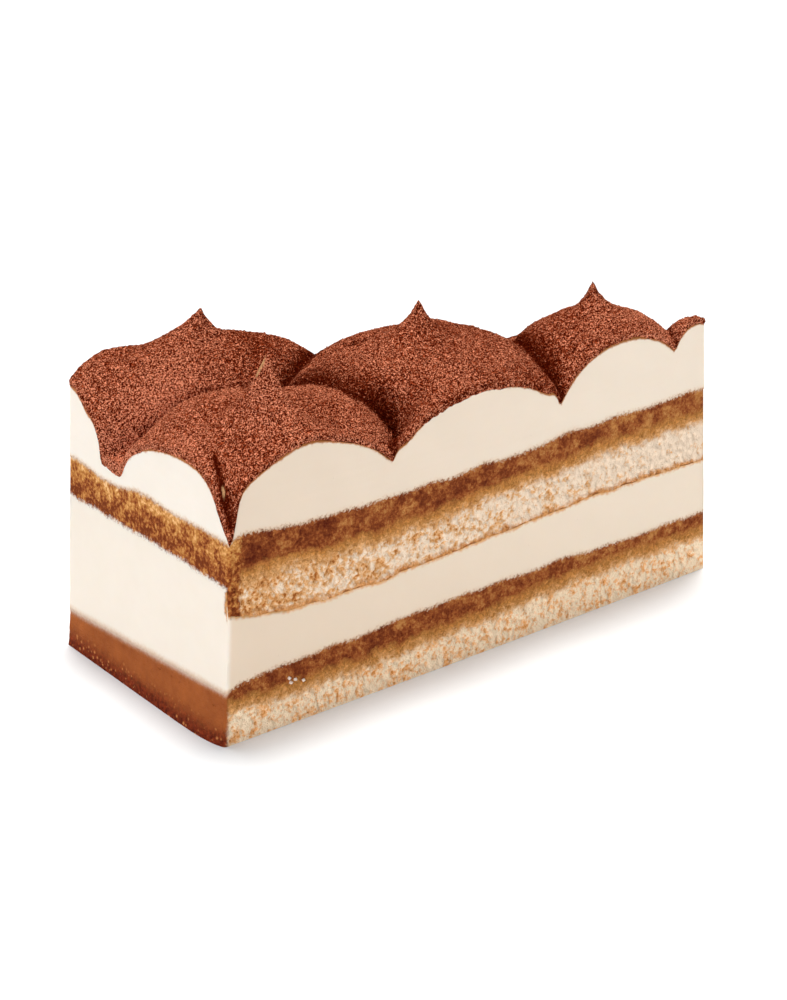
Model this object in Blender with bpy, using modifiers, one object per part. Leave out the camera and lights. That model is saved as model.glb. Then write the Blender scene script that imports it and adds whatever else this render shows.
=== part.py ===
"""Layered cream cake slice: coffee-soaked sponge, cream, and a cocoa-dusted top of piped kisses.

The slice is a bar cut from a larger cake. It lies on its flat base, with its long cut side
facing -Y and its wide end facing -X. Every layer runs through the whole slice and shows on
its cut sides. The two ends lean in a little towards the top, and the bar narrows to the right.
Its left end swells out a little where it stands.

Sizes below are in millimetres. A place on the slice is measured from its front left bottom
corner: along the bar (x), across it (y) and up (z). centre_base moves the finished slice so
that the part's origin is the middle of the base.
"""
import math
from collections import namedtuple

import bmesh
import bpy
from mathutils import Matrix, Vector

MM = 0.001

# The bar
LENGTH = 110.0
WIDTH_LEFT = 47.8
WIDTH_RIGHT = 39.5
LEFT_END_LEAN = 0.057       # the left end moves in this far for each unit of height
RIGHT_END_LEAN = 0.063
BACK_LEAN = 0.06            # the back leans in by this at the right end, and not at all at the left
FOOT_REACH = 1.55           # how far the left end would swell out without the two limits below
FOOT_ROUNDING = 3.5         # the swelling starts this gently at the front corner
FOOT_FADE = 60.0            # and would be gone this far from the front
FOOT_HEIGHT = 5.0
GAP = 0.3                   # clear space between two layers that lie on each other

# Mean heights of the layers' boundaries
LOWER_SPONGE_TOP = 6.9
LOWER_COFFEE_TOP = 12.1
MIDDLE_CREAM_TOP = 21.6
UPPER_SPONGE_TOP = 30.0
UPPER_COFFEE_TOP = 36.1
END_LIP = 0.8               # cream spread over the end of the upper sponge
COFFEE_DROOP = 2.6          # the lower coffee layer sinks this far at the left end
DROOP_SLOPE = 0.062         # and more for each unit of width away from the front corner

# The piped top
SLAB_TOP = 38.6             # cream between the kisses
KISS_FOOT = 34.0
BULGE = 2.3                 # how flat a kiss's crown is
SHOULDER = 0.4              # how steep its side is
TIP_SHARPNESS = 1.1
COCOA_THICKNESS = 0.7
CORNER_DIP = 6.0            # the top is knocked down at the front left corner
DIP_PLACE = 2.5             # along the front
DIP_REACH_ALONG = 1.3
DIP_REACH_ACROSS = 4.6
HOLLOW_PLACE = (38.5, 5.5)  # the middle kiss sinks beside the front corner's
HOLLOW_REACH = (4.2, 3.3)
HOLLOW_DEPTH = 9.3
HEADROOM = 75.0             # above the tallest tip

# A piped kiss: its centre, half sizes, turn in degrees, crown height, tip and spread of the tip
Kiss = namedtuple("Kiss", "along across half_length half_width turn crown tip spread")
KISSES = {
    "back_left": Kiss(24.8, 40.0, 25.9, 12.5, -11.0, 53.7, 5.5, 2.1),
    "back_corner": Kiss(11.8, 48.1, 12.8, 11.5, 0.0, 53.1, 0.0, 2.5),
    "front_corner": Kiss(16.4, 9.0, 18.7, 27.4, 24.9, 49.4, 13.2, 2.6),
    "back_shoulder": Kiss(18.3, 17.9, 18.7, 13.8, -44.7, 51.7, 0.0, 2.5),
    "front_shoulder": Kiss(27.1, 13.5, 16.1, 16.9, -17.7, 50.9, 0.0, 2.5),
    "middle": Kiss(53.8, 16.0, 27.1, 23.7, -3.2, 53.9, 7.3, 3.0),
    "front_right": Kiss(86.9, 8.1, 19.1, 14.6, -5.5, 53.4, 6.1, 1.9),
    "right_end": Kiss(104.9, 0.7, 6.8, 7.5, 0.0, 50.3, 0.0, 2.5),
    "back_gap": Kiss(46.5, 41.5, 9.0, 7.5, 0.0, 43.6, 0.0, 2.5),
    "back_middle": Kiss(71.0, 36.5, 15.0, 12.0, 0.0, 45.8, 1.2, 2.5),
    "back_low": Kiss(86.9, 31.8, 11.8, 11.3, 0.0, 40.0, 0.6, 2.2),
    "back_right": Kiss(100.4, 27.6, 12.4, 11.8, 0.0, 43.2, 1.2, 2.5),
    "right_middle": Kiss(108.5, 14.0, 9.0, 9.0, 0.0, 44.6, 0.0, 2.5),
}

# Mesh density
KISS_STEPS = 24
TIP_RADII = (0.6, 1.5, 2.8, 4.8)
SIDE_SHARES = (0.42, 0.6, 0.75, 0.87, 0.95, 0.99, 1.0)
END_SECTIONS = (0.01, 0.03, 0.06, 0.1)
SECTIONS_ALONG = 11
FRONT_SECTION = 0.06
SECTIONS_ACROSS = 5


# ---------------------------------------------------------------- the layers' boundaries

def wave(x, crest, length):
    return math.cos(2 * math.pi * (x - crest) / length)


def lower_sponge_top(x, y):
    return LOWER_SPONGE_TOP + 0.9 * wave(x, 92, 125)


def lower_coffee_top(x, y):
    droop = COFFEE_DROOP + DROOP_SLOPE * y
    return LOWER_COFFEE_TOP + 0.35 * wave(x, 62, 90) - droop * math.exp(-x / 4)


def middle_cream_top(x, y):
    return MIDDLE_CREAM_TOP + 1.3 * wave(x, 93, 157) + 3.7 * math.exp(-x / 11)


def upper_sponge_top(x, y):
    near_end = 1.2 * math.exp(-x / 12) - 4.0 * math.exp(-x / 2.5)
    return UPPER_SPONGE_TOP + 1.4 * wave(x, 94, 125) + near_end


def upper_coffee_top(x, y):
    near_end = 4.2 * math.exp(-x / 10) - 10.0 * math.exp(-x / 1.5)
    hollow = 1.2 * math.exp(-((y - 38) / 7) ** 2 - x / 10)
    return UPPER_COFFEE_TOP + 0.9 * wave(x, 103, 162) + near_end - hollow


def level(height):
    return lambda x, y: height


def shifted(surface, rise):
    return lambda x, y: surface(x, y) + rise


# ---------------------------------------------------------------- the cut sides

def left_end(y, z):
    """The left end leans in, and swells out at its foot behind the front corner."""
    swelling = FOOT_REACH * (1 - math.exp(-max(y, 0.0) / FOOT_ROUNDING)) * (1 - y / FOOT_FADE)
    return LEFT_END_LEAN * z - swelling * math.exp(-(z / FOOT_HEIGHT) ** 2)


def right_end(z):
    return LENGTH - RIGHT_END_LEAN * z


def back_side(x, z):
    narrowing = (WIDTH_LEFT - WIDTH_RIGHT) + BACK_LEAN * z
    return WIDTH_LEFT - narrowing * x / LENGTH


def slice_to_part(x, y, z):
    return Vector(((x - LENGTH / 2) * MM, (y - WIDTH_LEFT / 2) * MM, z * MM))


def corner_dip(x, y):
    """How far the top is knocked down near the front left corner."""
    reach = math.hypot((x - DIP_PLACE) / DIP_REACH_ALONG, y / DIP_REACH_ACROSS)
    return CORNER_DIP * math.exp(-reach * reach)


# ---------------------------------------------------------------- helpers

def clear_scene():
    for old in list(bpy.data.objects):
        bpy.data.objects.remove(old, do_unlink=True)


def make_material(name, colour, roughness):
    material = bpy.data.materials.new(name)
    material.use_nodes = True
    shader = material.node_tree.nodes["Principled BSDF"]
    shader.inputs["Base Color"].default_value = (*colour, 1.0)
    shader.inputs["Roughness"].default_value = roughness
    shader.inputs["Metallic"].default_value = 0.0
    return material


def new_object(name, mesh, collection):
    made = bpy.data.objects.new(name, mesh)
    collection.objects.link(made)
    return made


def combine(target, tool, operation):
    """Applies one exact Boolean and removes the tool, an object or a collection."""
    cut = target.modifiers.new(operation.lower(), "BOOLEAN")
    cut.operation = operation
    cut.solver = "EXACT"
    if isinstance(tool, bpy.types.Collection):
        cut.operand_type = "COLLECTION"
        cut.collection = tool
        used = list(tool.objects)
    else:
        cut.object = tool
        used = [tool]
    evaluated = target.evaluated_get(bpy.context.evaluated_depsgraph_get())
    mesh = bpy.data.meshes.new_from_object(evaluated)
    target.modifiers.clear()
    target.data = mesh
    for one in used:
        bpy.data.objects.remove(one, do_unlink=True)


def layer_block(name, bottom, top, collection, inset=0.0, overhang=0.0):
    """A slab of the slice between two surfaces, cut into sections that follow them.

    inset moves its left end inwards; overhang takes its other sides outwards, for a cutter.
    """
    block = bmesh.new()
    half = Matrix.Translation((0.5, 0.5, 0.5))
    bmesh.ops.create_cube(block, size=1.0, matrix=half)
    along = list(END_SECTIONS) + [i / SECTIONS_ALONG for i in range(2, SECTIONS_ALONG)]
    across = [FRONT_SECTION] + [i / SECTIONS_ACROSS for i in range(1, SECTIONS_ACROSS)]
    for axis, shares in ((0, along), (1, across)):
        normal = Vector((0, 0, 0))
        normal[axis] = 1
        for share in shares:
            everything = block.verts[:] + block.edges[:] + block.faces[:]
            bmesh.ops.bisect_plane(block, geom=everything, plane_co=normal * share, plane_no=normal)
    for vertex in block.verts:
        share_x, share_y, upper = vertex.co
        surface = top if upper > 0.5 else bottom
        x, y = share_x * LENGTH, share_y * WIDTH_LEFT
        z = surface(x, y)
        for _ in range(2):
            start = left_end(y, z) + inset
            x = start + (right_end(z) + overhang - start) * share_x
            y = (back_side(x, z) + 2 * overhang) * share_y - overhang
            z = surface(x, y)
        vertex.co = slice_to_part(x, y, z)
    mesh = bpy.data.meshes.new(name)
    block.to_mesh(mesh)
    block.free()
    return new_object(name, mesh, collection)


# ---------------------------------------------------------------- the piped top

def kiss_height(kiss, radius, distance):
    share = min(distance / radius, 1.0)
    crown = (kiss.crown - KISS_FOOT) * (1 - share ** BULGE) ** SHOULDER
    tip = kiss.tip * math.exp(-(distance / kiss.spread) ** TIP_SHARPNESS)
    return KISS_FOOT + crown + tip


def sink_hollow(piece):
    """Lowers the middle kiss where the front corner's shoulder meets it.

    Its bent faces are split the same way for the cream and for the cocoa, so that they don't
    cross.
    """
    for vertex in piece.data.vertices:
        along = (vertex.co.x / MM + LENGTH / 2 - HOLLOW_PLACE[0]) / HOLLOW_REACH[0]
        across = (vertex.co.y / MM + WIDTH_LEFT / 2 - HOLLOW_PLACE[1]) / HOLLOW_REACH[1]
        vertex.co.z -= HOLLOW_DEPTH * math.exp(-along * along - across * across) * MM
    split = bmesh.new()
    split.from_mesh(piece.data)
    bmesh.ops.triangulate(split, faces=split.faces[:], quad_method="FIXED", ngon_method="EAR_CLIP")
    split.to_mesh(piece.data)
    split.free()


def piped_kiss(name, kiss, rise, collection):
    """A turned kiss: its outline runs from the tip down to the foot and in to the axis."""
    radius = math.sqrt(kiss.half_length * kiss.half_width)
    distances = [0.0] + list(TIP_RADII) + [share * radius for share in SIDE_SHARES]
    distances = sorted(d for d in distances if d <= radius)
    outline = [(d, kiss_height(kiss, radius, d)) for d in distances]
    outline += [(radius, KISS_FOOT - 4), (0.0, KISS_FOOT - 4)]
    mesh = bpy.data.meshes.new(name)
    points = [(d * MM, 0.0, z * MM) for d, z in outline]
    mesh.from_pydata(points, [(i, i + 1) for i in range(len(points) - 1)], [])
    turned = new_object(name, mesh, collection)
    screw = turned.modifiers.new("turn", "SCREW")
    screw.axis = "Z"
    screw.steps = KISS_STEPS
    screw.render_steps = KISS_STEPS
    screw.use_merge_vertices = True
    screw.merge_threshold = 0.00001
    evaluated = turned.evaluated_get(bpy.context.evaluated_depsgraph_get())
    turned.data = bpy.data.meshes.new_from_object(evaluated)
    turned.modifiers.clear()
    stretch = Matrix.Diagonal((kiss.half_length / radius, kiss.half_width / radius, 1.0, 1.0))
    turn = Matrix.Rotation(math.radians(kiss.turn), 4, "Z")
    place = Matrix.Translation(slice_to_part(kiss.along, kiss.across, rise))
    turned.data.transform(place @ turn @ stretch)
    if kiss is KISSES["middle"]:
        sink_hollow(turned)
    return turned


def piped_top(name, rise, collection, workshop):
    """The cream slab with every kiss on it, raised by rise, before it is cut to the slice."""
    slab = bmesh.new()
    middle = slice_to_part(LENGTH / 2, WIDTH_LEFT / 2, (KISS_FOOT - 2 + SLAB_TOP) / 2 + rise)
    size = Vector((LENGTH + 60, WIDTH_LEFT + 60, SLAB_TOP - KISS_FOOT + 2)) * MM
    placed = Matrix.Translation(middle) @ Matrix.Diagonal((*size, 1.0))
    bmesh.ops.create_cube(slab, size=1.0, matrix=placed)
    mesh = bpy.data.meshes.new(name)
    slab.to_mesh(mesh)
    slab.free()
    top = new_object(name, mesh, collection)
    kisses = bpy.data.collections.new(name + "_kisses")
    workshop.children.link(kisses)
    for kiss_name, kiss in KISSES.items():
        piped_kiss(name + "_" + kiss_name, kiss, rise, kisses)
    combine(top, kisses, "UNION")
    bpy.data.collections.remove(kisses)
    return top


def knock_down_corner(piece):
    """Lowers the top near the corner, by at most nine tenths of the cream's height there."""
    for vertex in piece.data.vertices:
        x = vertex.co.x / MM + LENGTH / 2
        y = vertex.co.y / MM + WIDTH_LEFT / 2
        above = vertex.co.z / MM - upper_coffee_top(x, y) - GAP
        vertex.co.z -= min(corner_dip(x, y), 0.9 * max(above, 0.0)) * MM


def centre_base(pieces):
    """Moves the whole slice so that the middle of its box's base is the origin."""
    corners = [vertex.co for piece in pieces for vertex in piece.data.vertices]
    low = Vector(min(corner[axis] for corner in corners) for axis in range(3))
    high = Vector(max(corner[axis] for corner in corners) for axis in range(3))
    middle = Vector(((low.x + high.x) / 2, (low.y + high.y) / 2, low.z))
    for piece in pieces:
        piece.data.transform(Matrix.Translation(-middle))


# ---------------------------------------------------------------- the nodes

def build_lower_sponge(cake):
    top = shifted(lower_sponge_top, -GAP / 2)
    piece = layer_block("lower_sponge", level(0.0), top, cake)
    piece.data.materials.append(make_material("pale_sponge", (0.62, 0.41, 0.23), 0.85))


def build_lower_coffee_layer(cake):
    bottom = shifted(lower_sponge_top, GAP / 2)
    top = shifted(lower_coffee_top, -GAP / 2)
    piece = layer_block("lower_coffee_layer", bottom, top, cake)
    piece.data.materials.append(make_material("coffee_soaked_sponge", (0.2, 0.06, 0.02), 0.7))


def build_middle_cream(cake, workshop):
    bottom = shifted(lower_coffee_top, GAP / 2)
    top = shifted(upper_sponge_top, -GAP / 2)
    piece = layer_block("middle_cream", bottom, top, cake)
    seat = shifted(middle_cream_top, -GAP / 2)
    above = shifted(upper_sponge_top, 3.0)
    bed = layer_block("bed", seat, above, workshop, inset=END_LIP, overhang=3.0)
    combine(piece, bed, "DIFFERENCE")
    piece.data.materials.clear()
    piece.data.materials.append(make_material("cream", (0.86, 0.72, 0.56), 0.45))


def build_upper_sponge(cake):
    bottom = shifted(middle_cream_top, GAP / 2)
    top = shifted(upper_sponge_top, -GAP / 2)
    piece = layer_block("upper_sponge", bottom, top, cake, inset=END_LIP + GAP)
    piece.data.materials.append(make_material("pale_sponge", (0.62, 0.41, 0.23), 0.85))


def build_upper_coffee_layer(cake):
    bottom = shifted(upper_sponge_top, GAP / 2)
    top = shifted(upper_coffee_top, -GAP / 2)
    piece = layer_block("upper_coffee_layer", bottom, top, cake)
    piece.data.materials.append(make_material("coffee_soaked_sponge", (0.2, 0.06, 0.02), 0.7))


def build_top_cream(cake, workshop):
    piece = piped_top("top_cream", 0.0, cake, workshop)
    bottom = shifted(upper_coffee_top, GAP / 2)
    outside = layer_block("outside", bottom, level(HEADROOM), workshop)
    combine(piece, outside, "INTERSECT")
    knock_down_corner(piece)
    piece.data.materials.clear()
    piece.data.materials.append(make_material("cream", (0.86, 0.72, 0.56), 0.45))


def build_cocoa_coat(cake, workshop):
    piece = piped_top("cocoa_coat", GAP + COCOA_THICKNESS, cake, workshop)
    bottom = shifted(upper_coffee_top, 2 * GAP)
    outside = layer_block("outside", bottom, level(HEADROOM), workshop)
    combine(piece, outside, "INTERSECT")
    inside = piped_top("inside", GAP, workshop, workshop)
    combine(piece, inside, "DIFFERENCE")
    knock_down_corner(piece)
    piece.data.materials.clear()
    piece.data.materials.append(make_material("cocoa", (0.27, 0.075, 0.035), 0.9))


def main():
    clear_scene()
    cake = bpy.data.collections.new("layered_cream_cake_slice")
    workshop = bpy.data.collections.new("workshop")
    for collection in (cake, workshop):
        bpy.context.scene.collection.children.link(collection)
    build_lower_sponge(cake)
    build_lower_coffee_layer(cake)
    build_middle_cream(cake, workshop)
    build_upper_sponge(cake)
    build_upper_coffee_layer(cake)
    build_top_cream(cake, workshop)
    build_cocoa_coat(cake, workshop)
    centre_base(cake.objects)


main()
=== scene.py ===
"""Looks of the layered cream cake slice, laid out as a Blender add-on.

The slice is a bar of coffee-soaked sponge and cream with a cocoa-dusted top of piped kisses.
Sizes are in millimetres and are turned into metres where a mesh is made. A place on the slice
is measured from its front left bottom corner: along (x), across (y) and up (z).
"""
import math
import random
from collections import namedtuple

import bmesh
import bpy
import numpy as np
from mathutils import Euler, Matrix, Vector, noise


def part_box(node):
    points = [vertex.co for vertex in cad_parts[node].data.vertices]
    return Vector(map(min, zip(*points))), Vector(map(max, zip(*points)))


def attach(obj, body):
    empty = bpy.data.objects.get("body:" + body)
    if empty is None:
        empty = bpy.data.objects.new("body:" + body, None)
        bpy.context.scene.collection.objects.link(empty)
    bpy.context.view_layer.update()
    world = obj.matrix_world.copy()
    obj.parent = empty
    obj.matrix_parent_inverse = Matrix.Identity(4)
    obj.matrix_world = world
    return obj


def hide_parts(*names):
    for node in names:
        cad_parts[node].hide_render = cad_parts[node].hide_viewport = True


bl_info = {
    "name": "Layered cream cake slice",
    "version": (1, 0, 0),
    "blender": (4, 5, 0),
    "location": "View3D > Sidebar > Cake slice",
    "description": "Makes the sponge, cream and cocoa of one cake slice over its packed model",
    "category": "Object",
}

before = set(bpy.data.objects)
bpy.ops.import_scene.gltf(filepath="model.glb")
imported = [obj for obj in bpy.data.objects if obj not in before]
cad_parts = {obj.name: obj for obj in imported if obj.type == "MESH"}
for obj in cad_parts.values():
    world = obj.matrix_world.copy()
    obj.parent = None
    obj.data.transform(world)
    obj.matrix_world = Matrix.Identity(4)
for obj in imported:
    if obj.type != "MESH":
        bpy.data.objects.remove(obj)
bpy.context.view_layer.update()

MM = 0.001
BASE_LOW, BASE_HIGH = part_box("lower_sponge")
LENGTH = 110.0              # without the foot that stands out at the left end
WIDTH = (BASE_HIGH.y - BASE_LOW.y) / MM
FRONT_SWELL = 0.35          # how far the front swells out where it stands
LIP_MARGIN = 0.25           # how far the middle cream's lip ends from the left end's corners
ON_OUTLINE = 0.0001         # a share this near to 0 or 1 lies on the outline

# The piped top
KISS_FOOT = 34.0
SLAB_TOP = 38.6
BULGE = 2.3
SHOULDER = 0.4
TIP_SHARPNESS = 1.1
CREASE_SHARPNESS = 2.4      # how sharply two kisses meet, per millimetre
START_HEIGHT = 48.0         # where the search for the top's height starts
CREAM_BED = 0.35            # how far the cream ends under the piped surface

# A piped kiss: centre, half sizes, turn in degrees, crown height, tip, spread of the tip, bend
Kiss = namedtuple("Kiss", "along across half_length half_width turn crown tip spread bend")
KISSES = {
    "back_left": Kiss(24.8, 40.0, 25.9, 12.5, -11.0, 53.7, 5.5, 2.3, (0.42, 0.2)),
    "back_corner": Kiss(11.8, 48.1, 12.8, 11.5, 0.0, 53.1, 0.0, 2.5, (0.0, 0.0)),
    "front_corner": Kiss(16.4, 9.0, 18.7, 27.4, 24.9, 49.4, 13.2, 3.8, (0.1, -0.2)),
    "back_shoulder": Kiss(18.3, 17.9, 18.7, 13.8, -44.7, 51.7, 0.0, 2.5, (0.0, 0.0)),
    "front_shoulder": Kiss(27.1, 13.5, 16.1, 16.9, -17.7, 50.9, 0.0, 2.5, (0.0, 0.0)),
    "middle": Kiss(53.8, 16.0, 27.1, 23.7, -3.2, 53.9, 7.3, 3.0, (0.08, 0.1)),
    "front_right": Kiss(86.9, 8.1, 19.1, 14.6, -5.5, 53.4, 6.1, 2.1, (-0.05, 0.0)),
    "right_end": Kiss(104.9, 0.7, 6.8, 7.5, 0.0, 50.3, 0.0, 2.5, (0.0, 0.0)),
    "back_gap": Kiss(46.5, 41.5, 9.0, 7.5, 0.0, 43.6, 0.0, 2.5, (0.0, 0.0)),
    "back_middle": Kiss(71.0, 36.5, 15.0, 12.0, 0.0, 45.8, 1.2, 2.5, (0.0, 0.0)),
    "back_low": Kiss(86.9, 31.8, 11.8, 11.3, 0.0, 40.0, 0.6, 2.2, (0.0, 0.0)),
    "back_right": Kiss(100.4, 27.6, 12.4, 11.8, 0.0, 43.2, 1.2, 2.5, (0.0, 0.0)),
    "right_middle": Kiss(108.5, 14.0, 9.0, 9.0, 0.0, 44.6, 0.0, 2.5, (0.0, 0.0)),
}

# A soft mound, which is a hollow where its height is below 0: centre, reach both ways, height
Mound = namedtuple("Mound", "along across reach_along reach_across height")
MIDDLE_HOLLOW = Mound(38.5, 5.5, 4.2, 3.3, -9.3)        # beside the front corner's kiss
CREAM_MOUNDS = (
    Mound(2.5, 0.0, 1.3, 4.6, -6.0),        # the low front corner
    Mound(94.0, 39.5, 7.0, 4.0, -1.4),      # between the last two kisses at the back
    Mound(36.3, 0.0, 1.5, 2.5, 1.3),        # two creases, where they end in the front cut
    Mound(71.6, 0.0, 1.5, 2.5, 1.7),
)

# Painted shade on one kiss next to another, in the creases between them: how dark, and how far from
# the other in mm
CREASE_SHADE = {
    ("middle", "front_shoulder"): (1.0, 8.0), ("front_shoulder", "middle"): (0.5, 0.7),
    ("middle", "front_corner"): (1.0, 5.5), ("front_corner", "middle"): (0.5, 0.7),
    ("front_right", "middle"): (1.0, 5.5), ("middle", "front_right"): (0.9, 1.5),
    ("middle", "back_left"): (1.0, 5.0), ("back_left", "middle"): (1.0, 3.0),
    ("back_left", "back_shoulder"): (1.0, 2.6), ("back_left", "front_corner"): (1.0, 2.6),
    ("back_low", "middle"): (0.9, 3.0),
    ("front_right", "back_low"): (0.9, 4.0), ("back_low", "front_right"): (0.6, 2.0),
    ("right_end", "front_right"): (0.7, 2.5), ("right_middle", "front_right"): (0.5, 2.5),
    ("back_middle", "middle"): (0.6, 2.5), ("back_right", "back_low"): (0.6, 2.5),
}
# The painted shade in the creases begins below this height and is full this far lower
SHADE_TOP, SHADE_DEPTH = 53.5, 4.0      # creases darken below this height, over this depth
# Lines on the cocoa in mm: start, end and half width. The folds are painted shade only; the dimple
# is a dent that also gets painted shade
FOLD_SHADE_LINES = (((5.0, 8.0), (3.1, 2.8), 0.45), ((3.1, 2.8), (3.0, 0.5), 0.5))
BARE_LINES = (((3.7, 4.2), (3.4, 3.1), 0.12), ((15.9, 9.3), (15.2, 9.9), 0.4))
DIMPLE = ((45.6, 24.4), (47.6, 23.4), 1.1)
DIMPLE_DEPTH = 1.0
# Slow changes of the cocoa's lightness, partly real and partly painted light and painted shade:
# along, across, reach, and how much lighter
TONE_AND_LIGHT_PATCHES = ((1.0, 32.0, 7.0, 0.16), (36.5, 26.0, 4.5, 0.06), (16.3, 9.2, 2.0, 0.08),
         (12.0, 33.0, 5.0, 0.15), (33.0, 36.0, 5.0, -0.1), (56.0, 18.0, 8.0, -0.08),
         (84.0, 11.0, 4.0, -0.15), (19.0, 11.0, 6.0, -0.07), (30.0, 8.0, 4.0, -0.04),
         (95.5, 5.0, 4.0, 0.08), (4.0, 13.0, 5.0, 0.06), (9.0, 3.0, 5.0, -0.04))

# Sugar crystals on the front: along, height and turn
CRYSTALS = ((13.4, 8.6, 0.5), (14.6, 8.0, 1.6), (16.3, 7.3, 1.1), (13.7, 7.7, 0.3))
CRYSTAL_SIZE = 0.5

# The camera: place, how far it looks down and how far to the right of straight across, in degrees
CAMERA_PLACE = (-227.61, -331.55, 226.96)
CAMERA_DOWN, CAMERA_TURN = 24.399, 38.444
LENS = 100.0

# What the materials read at each point of a mesh
SPONGE_MARKS = ("soak", "over", "crust", "end", "pit", "front")
CREAM_MARKS = ("above", "below", "end", "rust")


# ---------------------------------------------------------------- settings a user would change

def number_setting(name, default, description):
    return bpy.props.FloatProperty(name=name, default=default, description=description)


def colour_setting(name, default, description):
    return bpy.props.FloatVectorProperty(name=name, default=default, description=description,
                                         subtype="COLOR")


class SliceShape(bpy.types.PropertyGroup):
    """The cut sides of the bar and the layers in it."""
    right_width: number_setting("Right width", 39.5, "Width of the base at the right end, in mm")
    left_lean: number_setting("Left lean", 0.057, "How far the left end leans in per mm of height")
    right_lean: number_setting("Right lean", 0.063, "The same at the right end")
    back_lean: number_setting("Back lean", 0.06, "How far the back leans in at the right end")
    foot: number_setting("Foot", 1.55, "How far the left end swells out at its foot, in mm")
    lower_sponge: number_setting("Lower sponge", 6.9, "Mean height where the coffee starts, in mm")
    lower_coffee: number_setting("Lower coffee", 12.1, "Mean top of the lower coffee band, in mm")
    middle_cream: number_setting("Middle cream", 21.6, "Mean top of the middle cream, in mm")
    upper_sponge: number_setting("Upper sponge", 30.0, "Where the coffee starts again, in mm")
    upper_coffee: number_setting("Upper coffee", 36.1, "Mean top of the upper coffee band, in mm")
    end_lip: number_setting("End lip", 0.8, "Cream over the upper sponge's left end, in mm")
    cocoa: number_setting("Cocoa", 0.7, "Thickness of the cocoa coat, in mm")


class SliceDetail(bpy.types.PropertyGroup):
    """How fine the meshes are."""
    crumb_step: number_setting("Crumb step", 0.32, "Mesh step on the sponge's sides, in mm")
    cream_step: number_setting("Cream step", 0.6, "Mesh step on the cream, in mm")
    cocoa_step: number_setting("Cocoa step", 0.34, "Mesh step on the cocoa, in mm")
    grains: bpy.props.IntProperty(
        name="Grains", description="Number of loose cocoa grains", default=3000)
    seed: bpy.props.IntProperty(name="Seed", description="Seed of every random draw", default=7)


class SliceColours(bpy.types.PropertyGroup):
    """The colours of the sponge, the cream and the cocoa."""
    cream: colour_setting("Cream", (0.856, 0.736, 0.605), "Set cream")
    crumb: colour_setting("Crumb", (0.89, 0.545, 0.28), "Pale sponge")
    crumb_light: colour_setting("Crumb edges", (1.0, 0.8, 0.6), "Torn edges of the pale sponge")
    crumb_deep: colour_setting("Crumb pores", (0.42, 0.125, 0.024), "Pores in the pale sponge")
    golden: colour_setting("Golden", (0.46, 0.19, 0.045), "Where the coffee fades out")
    crust: colour_setting("Crust", (0.58, 0.24, 0.065), "Browned underside of the sponge")
    coffee: colour_setting("Coffee", (0.215, 0.046, 0.0085), "Coffee-soaked sponge")
    coffee_deep: colour_setting("Deep coffee", (0.1, 0.012, 0.002), "Pores in the soaked sponge")
    cocoa: colour_setting("Cocoa", (0.395, 0.067, 0.023), "Cocoa powder")
    # The darkest cocoa, and also the colour of the painted shade in the creases
    cocoa_deep_and_shade: colour_setting("Deep cocoa", (0.05, 0.003, 0.0005), "Cocoa in the creases")
    # The brightest grains: partly the powder's own colour, partly painted highlights on the grains
    cocoa_bright_and_highlight: colour_setting("Bright cocoa", (0.96, 0.35, 0.2), "Light cocoa grains")
    stain: colour_setting("Stain", (0.72, 0.42, 0.22), "Cream where it meets sponge or cocoa")


class StageLook(bpy.types.PropertyGroup):
    """The floor and the light."""
    floor: colour_setting("Floor", (0.91, 0.96, 1.02), "Floor")
    sky: number_setting("Sky", 0.28, "Strength of the even light")
    key: number_setting("Key", 1.4, "Strength of the soft light from the left")
    top: number_setting("Top", 3.4, "Strength of the soft light from above")


# ---------------------------------------------------------------- the slice's own shape

def wave(x, crest, length):
    return np.cos(2 * np.pi * (x - crest) / length)


def ragged(x, y, height, seed):
    """Slow unevenness of a layer's border, in mm."""
    spot = Vector((x, y, 10 * seed))
    return height * (noise.noise(spot / 6) + 0.35 * noise.noise(spot / 2.2))


def smooth_step(low, high, value):
    share = min(max((value - low) / (high - low), 0.0), 1.0)
    return share * share * (3 - 2 * share)


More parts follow.
